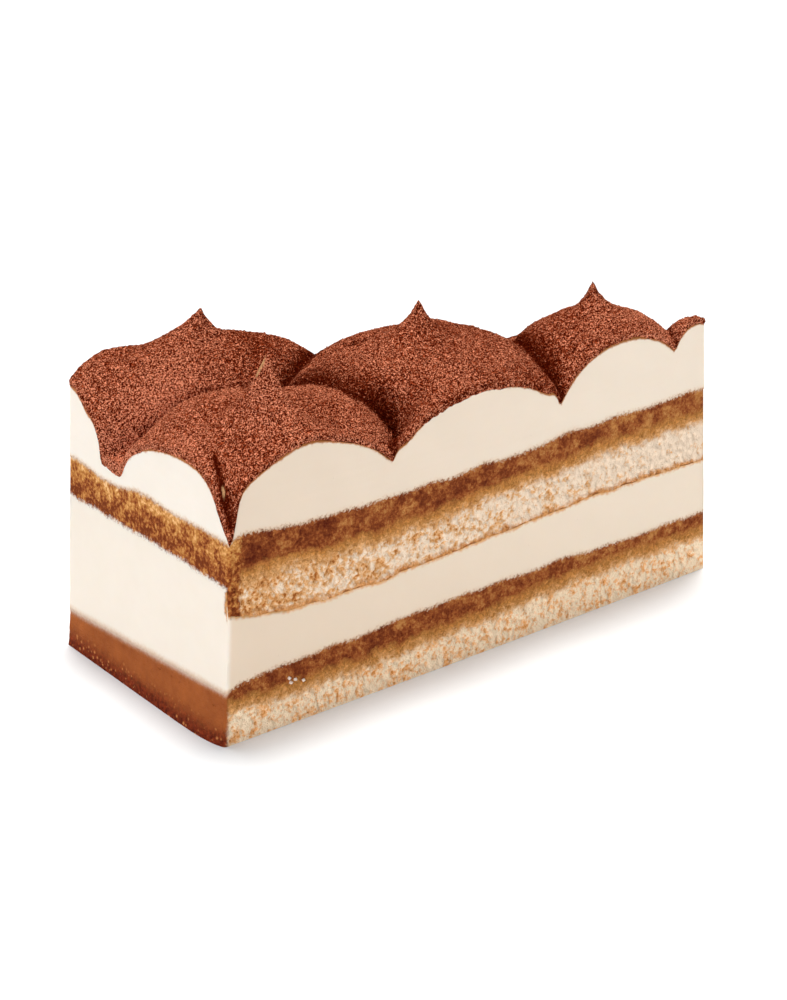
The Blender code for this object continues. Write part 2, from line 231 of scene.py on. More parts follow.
class Slice:
    """The bar's outline and the surfaces between its layers, from the panel's settings."""

    def __init__(self, shape):
        self.shape = shape
        self.lower_levels = self.base, self.lower_sponge_top, self.lower_coffee_top
        self.upper_levels = self.middle_cream_top, self.upper_sponge_top, self.upper_coffee_top

    def left_end(self, y, z):
        """The left end leans in, and swells out at its foot behind the front corner."""
        swelling = self.shape.foot * (1 - np.exp(-np.maximum(y, 0) / 3.5)) * (1 - y / 60)
        return self.shape.left_lean * z - swelling * np.exp(-(z / 5) ** 2)

    def right_end(self, z):
        return LENGTH - self.shape.right_lean * z

    def front_side(self, x, z):
        """The front swells out a little where it stands."""
        share = np.clip(x / LENGTH, 0, 1)
        return -FRONT_SWELL * np.sin(np.pi * share) * np.exp(-(z / 4) ** 2)

    def back_side(self, x, z):
        narrowing = WIDTH - self.shape.right_width + self.shape.back_lean * z
        return WIDTH - narrowing * x / LENGTH

    def place(self, share_x, share_y, z, inset=0.0):
        """The point at a share of the way along and across the bar, at height z."""
        x, y = share_x * LENGTH, share_y * WIDTH
        for _ in range(2):
            start = self.left_end(y, z) + inset
            x = start + (self.right_end(z) - start) * share_x
            front = self.front_side(x, z)
            y = front + (self.back_side(x, z) - front) * share_y
        return x, y

    def base(self, x, y):
        return 0.0

    def lower_sponge_top(self, x, y):
        return self.shape.lower_sponge + 0.9 * wave(x, 92, 125) + ragged(x, y, 0.5, 1)

    def lower_coffee_top(self, x, y):
        droop = (2.6 + 0.062 * y) * math.exp(-x / 4)
        level = self.shape.lower_coffee + 0.35 * wave(x, 62, 90) - droop
        return level + ragged(x, y, 0.6 * smooth_step(1, 4, x), 2)

    def middle_cream_top(self, x, y):
        level = self.shape.middle_cream + 1.3 * wave(x, 93, 157) + 3.7 * math.exp(-x / 11)
        return level + ragged(x, y, 0.5, 3)

    def upper_sponge_top(self, x, y):
        near_end = 1.2 * math.exp(-x / 12) - 4.0 * math.exp(-x / 2.5)
        return self.shape.upper_sponge + 1.4 * wave(x, 94, 125) + near_end + ragged(x, y, 0.6, 4)

    def upper_coffee_top(self, x, y):
        near_end = 4.2 * math.exp(-x / 10) - 10.0 * math.exp(-x / 1.5)
        hollow = 1.2 * math.exp(-((y - 38) / 7) ** 2 - x / 10)
        level = self.shape.upper_coffee + 0.9 * wave(x, 103, 162) + near_end - hollow
        return level + ragged(x, y, 0.5, 5)


def to_part(x, y, z):
    return Vector((BASE_HIGH.x + (x - LENGTH) * MM, BASE_LOW.y + y * MM, z * MM))


def mound_field(x, y, mound):
    """Height of a soft mound over many points."""
    away = np.hypot((x - mound.along) / mound.reach_along, (y - mound.across) / mound.reach_across)
    return mound.height * np.exp(-away ** 2)


def kiss_field(kiss, x, y):
    """Height of one kiss over many points."""
    turn = math.radians(kiss.turn)
    dx, dy = x - kiss.along, y - kiss.across
    share = np.hypot((math.cos(turn) * dx + math.sin(turn) * dy) / kiss.half_length,
                     (math.cos(turn) * dy - math.sin(turn) * dx) / kiss.half_width)
    inside = np.clip(1 - share ** BULGE, 0, 1)
    away = share * math.sqrt(kiss.half_length * kiss.half_width)
    skew = 1 + kiss.bend[0] * dx / np.maximum(np.hypot(dx, dy), 0.01)
    tip = kiss.tip * np.exp(-(away * skew / kiss.spread) ** TIP_SHARPNESS)
    height = KISS_FOOT + (kiss.crown - KISS_FOOT) * inside ** SHOULDER + tip * (inside > 0)
    return height + mound_field(x, y, MIDDLE_HOLLOW) if kiss is KISSES["middle"] else height


def top_field(x, y):
    """Height of the piped cream over many points, with soft creases between the kisses."""
    fields = [kiss_field(kiss, x, y) for kiss in KISSES.values()] + [np.full_like(x, SLAB_TOP)]
    fields = np.stack(fields)
    highest = fields.max(0)
    soft = np.log(np.exp(CREASE_SHARPNESS * (fields - highest)).sum(0)) / CREASE_SHARPNESS
    return highest + soft + sum(mound_field(x, y, mound) for mound in CREAM_MOUNDS)


def top_points(cake, share_x, share_y, rise=0.0, rounds=3):
    """Points at shares of the way along and across, at the piped surface's height plus rise."""
    z = np.full_like(share_x, START_HEIGHT)
    for _ in range(rounds):
        x, y = cake.place(share_x, share_y, z)
        z = top_field(x, y) + rise
    return x, y, z


def line_field(x, y, line):
    """1 on a line, fading to 0 over its half width."""
    (ax, ay), (bx, by), reach = line
    share = ((x - ax) * (bx - ax) + (y - ay) * (by - ay)) / ((bx - ax) ** 2 + (by - ay) ** 2)
    share = np.clip(share, 0, 1)
    return np.exp(-(np.hypot(x - ax - share * (bx - ax), y - ay - share * (by - ay)) / reach) ** 2)


def shade_field(x, y):
    """Painted shade on the cocoa by the creases between kisses, along the folds and in the dimple,
    from 0 to 1.
    """
    fields = {name: kiss_field(kiss, x, y) for name, kiss in KISSES.items()}
    highest = np.stack(list(fields.values())).max(0)
    # Painted shade in the dimple and along the folds
    shade = 0.5 * line_field(x, y, DIMPLE)
    for fold_shade in FOLD_SHADE_LINES:
        shade = np.maximum(shade, line_field(x, y, fold_shade))
    for (upper, lower), (weight, reach) in CREASE_SHADE.items():
        margin = np.maximum(fields[upper] - fields[lower], 0)
        low = np.clip((SHADE_TOP - fields[upper]) / SHADE_DEPTH, 0, 1)
        near = np.exp(-(margin / reach) ** 1.5) * low
        near *= (fields[upper] >= highest) & (fields[upper] > KISS_FOOT + 0.1)
        shade = np.maximum(shade, weight * near)
    return shade


def tip_bend(x, y, z):
    """How far the point of a kiss leans over, along and across."""
    lean_x, lean_y = np.zeros_like(x), np.zeros_like(x)
    for kiss in KISSES.values():
        if kiss.tip > 2:
            near = np.hypot(x - kiss.along, y - kiss.across) < 3 * kiss.spread
            share = np.clip((z - kiss.crown) / kiss.tip, 0, 1) ** 1.5 * near
            lean_x += kiss.bend[0] * share
            lean_y += kiss.bend[1] * share
    return lean_x, lean_y


def spill(share_x, x, y):
    """How much further the cocoa hangs over the cut sides in its low places, in mm."""
    if share_x < ON_OUTLINE:
        low = SLAB_TOP + 9 - float(top_field(np.array([x]), np.array([y]))[0])
        return 0.06 * max(0.0, low) + 0.8 * math.exp(-((y - 33) / 3) ** 2)
    return 0.7 * math.exp(-((x - 53) / 11) ** 2) if share_x < 1 - ON_OUTLINE else 0.0


# ---------------------------------------------------------------- relief of the surfaces

def crumb_relief(x, y, z, wetness):
    """Outward relief of cut sponge in mm, and how deep in a gap the point is from 0 to 1."""
    spot = Vector((x, y, z))
    warped = spot + 0.35 * noise.noise_vector(spot / 0.9)
    lumps = noise.voronoi(warped / 0.95)[0][0]
    holes = noise.voronoi(warped / 2.1 + Vector((7.3, 1.9, 4.1)))[0][0]
    open_place = smooth_step(-0.1, 0.35, noise.noise(spot / 4.0))
    gap = smooth_step(0.42, 0.8, lumps) + 0.8 * open_place * smooth_step(0.25, 0.1, holes)
    dryness = 1 - 0.7 * wetness
    rough = 0.12 * noise.noise(spot / 0.5) + 0.12 * noise.noise(spot / 1.6)
    slow = 0.1 * noise.noise(spot / 5)
    return (0.08 + rough - 0.3 * gap) * dryness + slow, min(1.0, gap) * (1 - 0.5 * wetness)


def cream_relief(x, y, z):
    """Outward relief of cut cream in mm: slow swells and faint knife marks."""
    swell = 0.12 * noise.noise(Vector((x, y, z)) / 7)
    return swell + 0.03 * noise.noise(Vector((x / 9, y / 9, z / 0.9)))


def cocoa_relief(x, y, z, finest=0.0):
    """Clumps and grit of the cocoa in mm, with finest as the height of its finest grit."""
    spot = Vector((x, y, z))
    clumps = 0.16 * noise.noise(spot / 2.4) + 0.3 * noise.noise(spot / 8.5)
    return clumps + 0.2 * noise.noise(spot / 0.62) + finest * noise.noise(spot / 0.36)


# ---------------------------------------------------------------- mesh building

Station = namedtuple("Station", "share_x share_y inward side normal")


def stations(length, width, step, radius):
    """Points round the bar's outline, with its four upright edges rounded."""
    sides = (((0, 0), (1, 0), length, (0, -1)), ((1, 0), (1, 1), width, (1, 0)),
             ((1, 1), (0, 1), length, (0, 1)), ((0, 1), (0, 0), width, (-1, 0)))
    made = []
    for index, (start, end, size, side) in enumerate(sides):
        count = max(4, round(size / step))
        for i in range(count):
            along = size * i / count
            lean, other = 0.0, side
            if along < radius:
                lean, other = math.pi / 4 * (1 - along / radius), sides[index - 1][3]
                along = radius * (1 - math.sin(lean))
            elif size - along < radius:
                lean, other = math.pi / 4 * (1 - (size - along) / radius), sides[(index + 1) % 4][3]
                along = size - radius * (1 - math.sin(lean))
            inward, share = radius * (1 - math.cos(lean)), along / size
            normal = [math.cos(lean) * side[k] + math.sin(lean) * other[k] for k in (0, 1)]
            made.append(Station(start[0] + (end[0] - start[0]) * share,
                                start[1] + (end[1] - start[1]) * share, inward, side, normal))
    return made + [made[0]]


def wall(cake, bottom, top, step, relief, marks, inset=0.0, radius=0.5):
    """A closed layer of the bar: a fine wall round it, bent from a grid, and two plain faces.

    relief gives the outward relief at a point and fills the marks, which become attributes.
    inset moves the left end inwards, but not at its corners.
    """
    ring = stations(LENGTH, WIDTH, step, radius)
    levels = [surface(LENGTH / 2, WIDTH / 2) for surface in (bottom, top)]
    rows = max(3, round((levels[1] - levels[0]) / step))
    block = bmesh.new()
    bmesh.ops.create_grid(block, x_segments=len(ring) - 1, y_segments=rows, size=0.5)
    layers = {name: block.verts.layers.float.new(name) for name in marks}
    side = block.verts.layers.int.new("side")
    for vertex in block.verts:
        station = ring[round((vertex.co.x + 0.5) * (len(ring) - 1))]
        share = vertex.co.y + 0.5
        vertex[side] = -1 if 0.001 < share < 0.999 else round(share)
        z = levels[0] + (levels[1] - levels[0]) * share
        from_corner = min(station.share_y, 1 - station.share_y)
        here = inset * smooth_step(0.006, 0.016, from_corner)
        for _ in range(3):
            x, y = cake.place(station.share_x, station.share_y, z, here)
            low = bottom(x, y)
            z = low + (top(x, y) - low) * share
        x -= station.inward * station.side[0]
        y -= station.inward * station.side[1]
        values = {}
        out = relief(x, y, z, values)
        for name, layer in layers.items():
            vertex[layer] = values[name]
        vertex.co = to_part(x + out * station.normal[0], y + out * station.normal[1], z)
    bmesh.ops.remove_doubles(block, verts=block.verts[:], dist=0.00001)
    for share in (0, 1):
        rim = [e for e in block.edges if e.is_boundary and e.verts[0][side] == share]
        close_fan(block, rim, levels[share])
    bmesh.ops.recalc_face_normals(block, faces=block.faces[:])
    return block


def close_fan(block, rim, z):
    """Closes a loop of edges with triangles that meet in one hidden point."""
    made = bmesh.ops.extrude_edge_only(block, edges=rim)["geom"]
    inner = [g for g in made if isinstance(g, bmesh.types.BMVert)]
    middle = sum((v.co for v in inner), Vector()) / len(inner)
    bmesh.ops.pointmerge(block, verts=inner, merge_co=(middle.x, middle.y, z * MM))


def grid_shares(points):
    """The shares along and across of the points of a flat grid."""
    return (np.array([point.co[axis] + 0.5 for point in points]) for axis in (0, 1))


def top_grid(cake, step, rise):
    """A flat grid for the whole top, with its points' shares and their places at the top."""
    block = bmesh.new()
    bmesh.ops.create_grid(block, x_segments=round(LENGTH / step), y_segments=round(WIDTH / step),
                          size=0.5)
    share_x, share_y = grid_shares(block.verts)
    return block, share_x, share_y, *top_points(cake, share_x, share_y, rise, rounds=4)


def shape_grid(block, x, y, z, **marks):
    """Moves a grid's points to x, y and z, and keeps the other arrays as marks of the points."""
    layers = {name: block.verts.layers.float.new(name) for name in marks}
    for i, vertex in enumerate(block.verts):
        vertex.co = to_part(x[i], y[i], z[i])
        for name, layer in layers.items():
            vertex[layer] = marks[name][i]
    return layers


def hang_sides(block, shares, move):
    """Extrudes a block's open edge once for each share, moves the points and gives the last edge."""
    rim = [edge for edge in block.edges if edge.is_boundary]
    for share in shares:
        made = bmesh.ops.extrude_edge_only(block, edges=rim)["geom"]
        rim = [g for g in made if isinstance(g, bmesh.types.BMEdge)]
        for vertex in (g for g in made if isinstance(g, bmesh.types.BMVert)):
            move(vertex, share)
    return rim


def move_out(share_x, share_y, x, y, z, out):
    """The point moved out of the bar, from the side or the corner on which its shares place it."""
    side_x, side_y = ((s > 1 - ON_OUTLINE) - (s < ON_OUTLINE) for s in (share_x, share_y))
    return to_part(x + out * side_x, y + out * side_y, z)


def mesh_object(block, name, material):
    mesh = bpy.data.meshes.new(name)
    block.to_mesh(mesh)
    block.free()
    mesh.materials.append(material)
    made = bpy.data.objects.new(name, mesh)
    bpy.context.scene.collection.objects.link(made)
    return made


def add_piece(block, name, material, slot, *nodes):
    """Turns a bmesh into a piece that rides on the slice and stands for its nodes."""
    if not block.faces:
        raise RuntimeError(f"{name} has no faces")
    piece = mesh_object(block, name, material)
    piece.data.shade_smooth()
    piece.data.set_sharp_from_angle(angle=math.radians(70))
    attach(piece, "root")
    if nodes:
        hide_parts(*nodes)
    return piece


# ---------------------------------------------------------------- node helpers

def feed(tree, entry, value):
    """Links an output to an input, or sets the input to a plain value."""
    if isinstance(value, bpy.types.NodeSocket):
        tree.links.new(value, entry)
    else:
        entry.default_value = value


def new_node(tree, kind, inputs=None, **settings):
    node = tree.nodes.new(kind)
    for key, value in settings.items():
        setattr(node, key, value)
    for key, value in (inputs or {}).items():
        feed(tree, node.inputs[key], value)
    return node


def calculate(tree, operation, first, second, clamp=False):
    return new_node(tree, "ShaderNodeMath", {0: first, 1: second},
                    operation=operation, use_clamp=clamp).outputs[0]


def plus(tree, first, second):
    return calculate(tree, "ADD", first, second)


def minus(tree, first, second):
    return calculate(tree, "SUBTRACT", first, second)


def times(tree, first, second):
    return calculate(tree, "MULTIPLY", first, second)


def weighed(tree, start, *parts):
    """A start plus each part times its share."""
    for part, share in parts:
        start = plus(tree, start, times(tree, part, share))
    return start


def rescaled(tree, value, low, high, to_low=0.0, to_high=1.0, **settings):
    """How far a value is from low to high, as a value from to_low to to_high."""
    return new_node(tree, "ShaderNodeMapRange",
                    {"Value": value, "From Min": low, "From Max": high, "To Min": to_low,
                     "To Max": to_high}, **settings).outputs["Result"]


def blend_colours(tree, factor, first, second):
    node = new_node(tree, "ShaderNodeMix", data_type="RGBA")
    for key, value in ((0, factor), (6, first), (7, second)):
        ready = key == 0 or isinstance(value, bpy.types.NodeSocket)
        feed(tree, node.inputs[key], value if ready else (*value, 1))
    return node.outputs[2]


def ramp(tree, value, *stops):
    """A colour for each position from 0 to 1."""
    node = new_node(tree, "ShaderNodeValToRGB", {0: value})
    made = node.color_ramp.elements
    made[0].position, made[1].position = stops[0][0], stops[-1][0]
    made[0].color, made[1].color = (*stops[0][1], 1), (*stops[-1][1], 1)
    for position, colour in stops[1:-1]:
        made.new(position).color = (*colour, 1)
    return node.outputs[0]


def scaled(colour, *factors):
    """The colour times one factor, or times one for each channel."""
    return tuple(min(1.0, c * k) for c, k in zip(colour, factors * (3 // len(factors))))


def attribute(tree, name):
    return new_node(tree, "ShaderNodeAttribute", attribute_name=name).outputs["Fac"]


def new_group(name, output, **inputs):
    """A group with named numbers as inputs and one number as output."""
    group = bpy.data.node_groups.new(name, "ShaderNodeTree")
    for label, value in inputs.items():
        made = group.interface.new_socket(name=label, in_out="INPUT", socket_type="NodeSocketFloat")
        made.default_value = value
    group.interface.new_socket(name=output, in_out="OUTPUT", socket_type="NodeSocketFloat")
    return group, group.nodes.new("NodeGroupInput"), group.nodes.new("NodeGroupOutput")


def object_noise(group, given, **inputs):
    where = new_node(group, "ShaderNodeTexCoord").outputs["Object"]
    return new_node(group, "ShaderNodeTexNoise", {
        "Vector": where, "Scale": given.outputs["Scale"], **inputs}).outputs["Fac"]


def soft_edge_group():
    """A mask that rises as a distance passes an edge, with an uneven, grainy border."""
    group, given, result = new_group("soft edge", "Mask", Distance=0.0, Edge=0.0, Softness=0.5,
                                     Unevenness=0.5, Scale=1500.0)
    grit = object_noise(group, given, Detail=4.0, Roughness=0.7)
    swing = times(group, minus(group, grit, 0.5), times(group, given.outputs["Unevenness"], 4.0))
    moved = plus(group, given.outputs["Distance"], swing)
    low, high = (part(group, given.outputs["Edge"], given.outputs["Softness"])
                 for part in (minus, plus))
    mask = rescaled(group, moved, low, high, interpolation_type="SMOOTHSTEP")
    group.links.new(mask, result.inputs["Mask"])
    return group


def grain_group():
    """Fine grain from 0 to 1, with a chosen size, contrast and waviness."""
    group, given, result = new_group("grain", "Value", Scale=3000.0, Contrast=2.0, Waviness=0.0)
    grit = object_noise(group, given, Detail=2.5, Roughness=0.65,
                        Distortion=given.outputs["Waviness"])
    spread = times(group, minus(group, grit, 0.5), given.outputs["Contrast"])
    group.links.new(calculate(group, "ADD", spread, 0.5, clamp=True), result.inputs["Value"])
    return group


def pore_group():
    """Small round pores: 1 in a pore and 0 between them."""
    group, given, result = new_group("pores", "Mask", Scale=1500.0, Size=0.35)
    where = new_node(group, "ShaderNodeTexCoord").outputs["Object"]
    cells = new_node(group, "ShaderNodeTexVoronoi",
                     {"Vector": where, "Scale": given.outputs["Scale"], "Randomness": 1.0})
    some = new_node(group, "ShaderNodeSeparateColor", {0: cells.outputs["Color"]}).outputs[0]
    size = times(group, given.outputs["Size"], some)
    mask = rescaled(group, cells.outputs["Distance"], 0.0, size, 1.0, 0.0,
                    interpolation_type="SMOOTHSTEP")
    group.links.new(mask, result.inputs["Mask"])
    return group


GROUP_MAKERS = {"soft edge": soft_edge_group, "grain": grain_group, "pores": pore_group}


def use_group(tree, name, **inputs):
    """The output of a shared group, which is made when it is first used."""
    group = bpy.data.node_groups.get(name) or GROUP_MAKERS[name]()
    return new_node(tree, "ShaderNodeGroup", inputs, node_tree=group).outputs[0]


def soft_edge(tree, distance, edge, softness, unevenness, scale):
    return use_group(tree, "soft edge", Distance=distance, Edge=edge, Softness=softness,
                     Unevenness=unevenness, Scale=scale)


def grain(tree, scale, contrast, waviness=0.0):
    return use_group(tree, "grain", Scale=scale, Contrast=contrast, Waviness=waviness)


def pores(tree, scale, size):
    return use_group(tree, "pores", Scale=scale, Size=size)


def new_material(name):
    material = bpy.data.materials.new(name)
    material.use_nodes = True
    return material, material.node_tree, material.node_tree.nodes["Principled BSDF"]


def finish_surface(tree, shader, base, roughness, specular):
    feed(tree, shader.inputs["Base Color"], base)
    shader.inputs["Roughness"].default_value = roughness
    shader.inputs["Specular IOR Level"].default_value = specular


def bump(tree, shader, height, distance, strength):
    node = new_node(tree, "ShaderNodeBump", {"Height": height, "Distance": distance,
                                             "Strength": strength})
    tree.links.new(node.outputs["Normal"], shader.inputs["Normal"])


# ---------------------------------------------------------------- materials

def coffee_colour(tree, colours):
    """Soaked crumb: dark pores and lighter brown lumps, paler far from the left end."""
    level = weighed(tree, times(tree, attribute(tree, "end"), 0.0017),
                    (grain(tree, 1900.0, 2.6, 0.3), 0.38), (grain(tree, 700.0, 2.6), 0.28),
                    (grain(tree, 260.0, 3.6), 0.36))
    return ramp(tree, level, (0.2, colours.coffee_deep),
                (0.48, scaled(colours.coffee, 1.0, 1.0, 1.2)),
                (0.66, scaled(colours.coffee, 1.6, 2.1, 2.8)),
                (0.92, scaled(colours.golden, 1.15, 1.2, 1.4)))


def cream_colour(tree, colours, shade=(1.0, 1.0, 1.0)):
    """Cream with faint clouds, and painted light: lighter and cooler on the left end face,
    darker on the long sides next to it, and paler to the right.
    """
    cloud = grain(tree, 160.0, 1.2)
    cream = scaled(colours.cream, *shade)
    cloudy = blend_colours(tree, cloud, scaled(cream, 0.975, 0.96, 0.94), scaled(cream, 1.02))
    far = rescaled(tree, attribute(tree, "end"), 5.0, 85.0)
    near = rescaled(tree, attribute(tree, "end"), 0.3, 1.0)
    # Painted light: the left end face is lighter and cooler
    end = blend_colours(tree, cloud, scaled(cream, 0.975, 1.03, 1.1),
                        scaled(cream, 1.02, 1.09, 1.19))
    # Painted shade: darker cream on the long sides near the left end
    left_side_shade = blend_colours(tree, 0.5, cloudy, scaled(cream, 0.93, 0.88, 0.84))
    left = blend_colours(tree, near, end, left_side_shade)
    # Painted light: the cream turns paler towards the right
    right = blend_colours(tree, 0.5, cloudy, scaled(cream, 1.08, 1.1, 1.13))
    return blend_colours(tree, far, left, right)


def border_colour(tree, colours, distance, end_softness, below, above):
    """Blends from coffee to cream as distance passes 0: grainy on the long sides, softer at the
    left end, and tan in between."""
    softness = rescaled(tree, attribute(tree, "end"), 0.2, 0.9, end_softness, 0.28)
    unevenness = calculate(tree, "DIVIDE", 0.2, softness)
    low, high = (soft_edge(tree, plus(tree, distance, shift), 0.0, softness, unevenness, 1800.0)
                 for shift in (0.12, -0.18))
    tan = blend_colours(tree, 0.35, colours.golden, colours.cream)
    return blend_colours(tree, high, blend_colours(tree, low, below, tan), above)


def cream_material(colours, name, shade, roof, roof_reach, end_softness):
    """Set cream: smooth and a little translucent, stained where it meets sponge or cocoa.

    It reads marks in mm: above is the height over its lower border, below the depth under its
    upper border and end the distance from the left end; rust is 1 on the browned corner.
    """
    material, tree, shader = new_material(name)
    above = attribute(tree, "above")
    stained = blend_colours(tree, 0.45, colours.cream, colours.stain)
    tint = soft_edge(tree, above, 0.35, 0.75, 0.35, 900.0)
    base = blend_colours(tree, tint, stained, cream_colour(tree, colours, shade))
    base = border_colour(tree, colours, above, end_softness, coffee_colour(tree, colours), base)
    fringe = soft_edge(tree, attribute(tree, "below"), roof_reach, 0.4, 0.4, 1100.0)
    base = blend_colours(tree, fringe, roof, base)
    rusty = blend_colours(tree, grain(tree, 1300.0, 3.0), scaled(colours.golden, 0.6),
                          scaled(colours.crust, 1.25))
    rust = soft_edge(tree, attribute(tree, "rust"), 0.5, 0.35, 0.25, 1200.0)
    finish_surface(tree, shader, blend_colours(tree, rust, base, rusty), 0.5, 0.3)
    shader.inputs["Subsurface Weight"].default_value = 0.25
    shader.inputs["Subsurface Radius"].default_value = (1.0, 0.7, 0.5)
    shader.inputs["Subsurface Scale"].default_value = 0.0012
    fine = times(tree, grain(tree, 2200.0, 1.0), 0.25)
    bump(tree, shader, minus(tree, fine, pores(tree, 420.0, 0.12)), 0.0001, 0.4)
    return material


SpongeLook = namedtuple("SpongeLook",
                        "light lift slope crust_edge end_reach end_softness end_colour")


def pale_colour(tree, colours, look):
    """Dry crumb: small brown pores, pale lumps and light torn edges, in slow patches.

    It is paler by the look's lift, and by its slope for each mm from the left end.
    """
    mixed = plus(tree, times(tree, grain(tree, 1500.0, 3.4, 0.3), 0.5),
                 times(tree, grain(tree, 330.0, 3.8), 0.5))
    holes = calculate(tree, "MAXIMUM", times(tree, attribute(tree, "pit"), 0.24),
                      times(tree, pores(tree, 760.0, 0.55), 0.42))
    mixed = plus(tree, minus(tree, mixed, holes), look.lift)
    paler = times(tree, attribute(tree, "end"), look.slope)
    stops = ((0.02, colours.crumb_deep), (0.22, scaled(colours.crumb, 0.86, 0.66, 0.42)),
             (0.42, scaled(colours.crumb, 1.0, 0.97, 0.93)), (0.74, colours.crumb_light))
    return ramp(tree, calculate(tree, "ADD", mixed, paler, clamp=True),
                *((place, scaled(colour, *look.light)) for place, colour in stops))


def foot_end_colour(tree, colours):
    """The left end's lower band: smooth soaked sponge, redder and gritty near the floor."""
    smooth = blend_colours(tree, grain(tree, 220.0, 1.6), scaled(colours.coffee, 1.25, 1.45, 2.0),
                           scaled(colours.coffee, 2.0, 2.6, 3.4))
    red = blend_colours(tree, grain(tree, 1500.0, 2.4), colours.cocoa_deep_and_shade,
                        scaled(colours.cocoa, 0.75, 0.65, 0.5))
    red = blend_colours(tree, pores(tree, 1100.0, 0.55), red, scaled(colours.crust, 1.3, 1.2, 1.4))
    mask = soft_edge(tree, attribute(tree, "crust"), 2.6, 1.9, 0.6, 700.0)
    return blend_colours(tree, mask, red, smooth)


def band_end_colour(tree, colours):
    """The left end's upper band: mottled soaked sponge, golden under the top cream, and with
    cream in ragged patches over its lower border."""
    height = rescaled(tree, attribute(tree, "over"), -4.0, 0.0)
    level = weighed(tree, minus(tree, times(tree, height, 0.36), 0.16),
                    (grain(tree, 1500.0, 3.6), 0.44), (grain(tree, 380.0, 4.2), 0.38))
    band = ramp(tree, level, (0.12, scaled(colours.coffee, 0.8, 0.7, 0.6)),
                (0.32, scaled(colours.coffee, 1.7, 2.2, 2.8)), (0.5, scaled(colours.golden, 1.15)),
                (0.7, scaled(colours.golden, 1.55, 1.8, 2.3)),
                (0.92, scaled(colours.golden, 2.1, 3.2, 6.5)))
    low = soft_edge(tree, attribute(tree, "soak"), 0.0, 0.5, 0.6, 2000.0)
    low = calculate(tree, "MAXIMUM", low, attribute(tree, "front"))
    return blend_colours(tree, low, cream_colour(tree, colours), band)


LOWER_END_SOFTNESS, UPPER_END_SOFTNESS = 1.1, 0.45
# The lower sponge's lift is painted light that makes up for the weaker light near the floor; its
# light factors also give its own less yellow crumb
LOWER_LOOK = SpongeLook((1.06, 0.98, 0.92), 0.24, 0.0002, -1.0, 0.55, LOWER_END_SOFTNESS,
                        foot_end_colour)
UPPER_LOOK = SpongeLook((0.92, 0.91, 0.92), -0.05, 0.0052, 0.7, 2.3, UPPER_END_SOFTNESS,
                        band_end_colour)


def soaked_sponge_material(colours, name, look):
    """Sponge that is pale below and soaked with coffee above, with a fuzzy golden border.

    It reads marks in mm: soak is the height over the coffee's lower border, over the height over
    its upper border, crust the height over the sponge's underside, end the distance from the
    left end, and pit a pore's depth. front is 1 on the long front side.
    """
    material, tree, shader = new_material(name)
    fine = grain(tree, 1700.0, 2.6, 0.8)
    base, brown = pale_colour(tree, colours, look), coffee_colour(tree, colours)
    golden = blend_colours(tree, fine, scaled(colours.golden, 0.6), scaled(colours.golden, 1.5))
    tan = blend_colours(tree, fine, colours.golden, scaled(colours.crumb, 0.95, 0.85, 0.7))
    soak = attribute(tree, "soak")
    for colour, place, width, swing in ((tan, -1.1, 1.0, 1.2), (golden, 0.1, 0.9, 1.2),
                                        (brown, 1.55, 0.8, 1.0)):
        mask = soft_edge(tree, soak, place, width, swing, 520.0)
        base = blend_colours(tree, mask, base, colour)
    crusty = blend_colours(tree, fine, scaled(colours.crust, 0.7, 0.55, 0.4),
                           scaled(colours.crust, 1.5, 1.8, 2.6))
    under = soft_edge(tree, attribute(tree, "crust"), look.crust_edge, 0.6, 1.0, 520.0)
    base = blend_colours(tree, under, crusty, base)
    ending = soft_edge(tree, attribute(tree, "end"), look.end_reach, 0.4,
                       0.15 + 0.2 * look.end_reach, 900.0)
    base = blend_colours(tree, ending, look.end_colour(tree, colours), base)
    base = border_colour(tree, colours, attribute(tree, "over"), look.end_softness, base,
                         cream_colour(tree, colours))
    finish_surface(tree, shader, base, 0.85, 0.1)
    bump(tree, shader, fine, 0.0002, 0.6)
    return material


def cocoa_material(colours):
    """Cocoa powder: bright and dark grains, with painted shade in the creases between the kisses.

    It reads three marks: the painted shade in the creases from 0 to 1, bare from 0 to 1 where cream
    shows through, and how much lighter the cocoa is, partly real and partly painted light and shade.
    """
    material, tree, shader = new_material("cocoa powder")
    fine, crease = grain(tree, 2100.0, 4.0), attribute(tree, "crease")
    # The lightness mark is partly the cocoa's own colour and partly painted light and shade
    level = weighed(tree, plus(tree, attribute(tree, "tone"), -0.15),
                    (grain(tree, 4600.0, 9.0), 0.6), (fine, 0.34),
                    (grain(tree, 800.0, 2.4), 0.17), (grain(tree, 75.0, 3.0), 0.12))
    # Painted shade: the cocoa's grains turn darker in the creases
    level = calculate(tree, "SUBTRACT", level, times(tree, crease, 0.3), clamp=True)
    # From dark gaps to bright grains: partly the powder's own colour, partly painted shade in the
    # gaps and painted highlights
    base = ramp(tree, level, (0.22, colours.cocoa_deep_and_shade),
                (0.33, scaled(colours.cocoa, 0.28, 0.085, 0.03)),
                (0.425, scaled(colours.cocoa, 0.62, 0.42, 0.2)), (0.52, colours.cocoa),
                (0.61, scaled(colours.cocoa, 1.34, 1.68, 1.85)), (0.78, colours.cocoa_bright_and_highlight))
    # More painted shade in the creases, blended towards the deep cocoa colour
    shade = calculate(tree, "MULTIPLY", crease, 0.72, clamp=True)
    base = blend_colours(tree, shade, base, colours.cocoa_deep_and_shade)
    bare = soft_edge(tree, attribute(tree, "bare"), 0.5, 0.3, 0.2, 2200.0)
    base = blend_colours(tree, bare, base, scaled(colours.cream, 0.8, 0.5, 0.28))
    finish_surface(tree, shader, base, 0.95, 0.0)
    bump(tree, shader, fine, 0.0006, 0.8)
    return material


